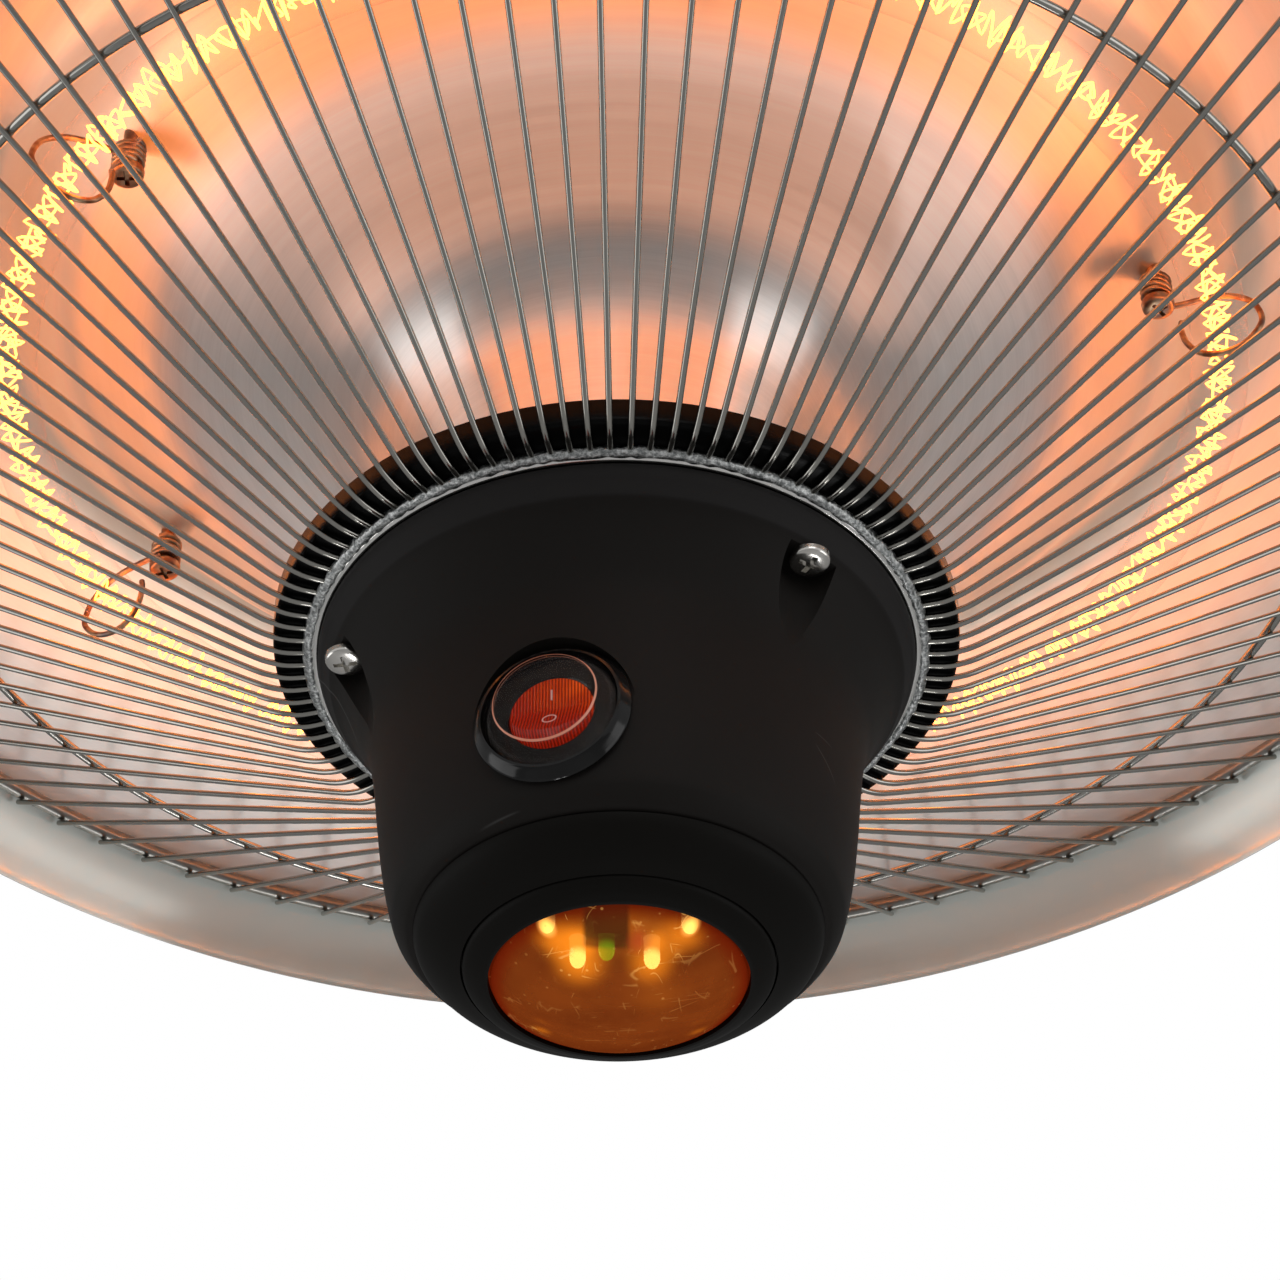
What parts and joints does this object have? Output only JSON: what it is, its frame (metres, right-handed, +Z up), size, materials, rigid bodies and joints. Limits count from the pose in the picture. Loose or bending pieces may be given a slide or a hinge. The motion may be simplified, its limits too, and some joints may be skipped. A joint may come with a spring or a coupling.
{
  "type": "ceiling infrared heater",
  "caption": "Round hanging infrared heater: spun dish reflector with a ring lamp, conical wire guard, bell-shaped control housing with rocker switch and amber lens, hanging eye on top",
  "frame": {"origin": "inner top of the hanging eye's loop, where the hook bears", "axes": "+Z up along the centre tube, the switch and lens side towards -Y, the cable gland towards +Y"},
  "size_m": [0.425, 0.425, 0.268],
  "materials": {
    "spun_aluminium": "spun, fine circular brushing",
    "nickel": "bright nickel plate",
    "zinc_steel": "zinc plated",
    "bright_wire": "bright drawn wire",
    "heat_tinted_steel": "tinted by heat",
    "black_moulding": "matte black",
    "gloss_black_plastic": "gloss black",
    "black_enamel": "gloss black enamel",
    "steatite": "unglazed",
    "quartz": "clear",
    "amber_lens": "translucent amber",
    "clear_cap": "clear",
    "circuit_board": "solder resist",
    "blue_case": "moulded",
    "sleeve": "shrink sleeve",
    "terminal_green": "moulded",
    "lead_sleeve": "woven glass sleeve",
    "receiver_black": "dark window",
    "glowing_coil": "glowing",
    "red_rocker": "lit, ribbed",
    "warm_led": "lit",
    "green_led": "lit",
    "red_led": "unlit"
  },
  "bodies": {
    "heater": {"reflector": "spun_aluminium", "top_cover": "spun_aluminium", "cover_screw_1": "nickel", "cover_screw_2": "nickel", "cover_screw_3": "nickel", "centre_tube": "zinc_steel", "top_nut": "nickel", "neck_nut": "zinc_steel", "hub_nut": "zinc_steel", "hanging_eye": "nickel", "cable_gland": "black_moulding", "gland_cap": "black_moulding", "gland_nut": "black_moulding", "terminal_block": "steatite", "thermal_cutout": "gloss_black_plastic", "quartz_tube": "quartz", "filament": "glowing_coil", "lamp_cap_left": "steatite", "lamp_cap_right": "steatite", "lamp_lead_left": "lead_sleeve", "lamp_lead_right": "lead_sleeve", "lamp_clip_1": "heat_tinted_steel", "lamp_clip_2": "heat_tinted_steel", "lamp_clip_3": "heat_tinted_steel", "lamp_clip_4": "heat_tinted_steel", "clip_screw_1": "heat_tinted_steel", "clip_screw_2": "heat_tinted_steel", "clip_screw_3": "heat_tinted_steel", "clip_screw_4": "heat_tinted_steel", "hub_dish": "black_enamel", "wire_guard": "bright_wire", "hub_ring": "bright_wire", "outer_hoop": "bright_wire", "control_housing": "black_moulding", "housing_screw_1": "nickel", "housing_screw_2": "nickel", "housing_screw_3": "nickel", "bottom_cap": "black_moulding", "lens_ring": "gloss_black_plastic", "lens": "amber_lens", "control_board": "circuit_board", "board_screw_1": "zinc_steel", "board_screw_2": "zinc_steel", "relay": "blue_case", "capacitor": "sleeve", "board_terminal": "terminal_green", "wiring_loom": "lead_sleeve", "indicator_board": "circuit_board", "warm_led_1": "warm_led", "warm_led_2": "warm_led", "warm_led_3": "warm_led", "warm_led_4": "warm_led", "green_led": "green_led", "red_led": "red_led", "remote_receiver": "receiver_black", "switch_body": "gloss_black_plastic", "switch_pin": "zinc_steel", "switch_cap_ring": "gloss_black_plastic", "switch_cap": "clear_cap"},
    "rocker": {"rocker": "red_rocker"}
  },
  "joints": [
    {"name": "rocker_hinge", "type": "hinge", "parent": "heater", "child": "rocker", "pos_m": [-0.01089, -0.03901, -0.226], "axis": [0.9632, -0.2689, 0], "range_deg": [0, 24]}
  ]
}
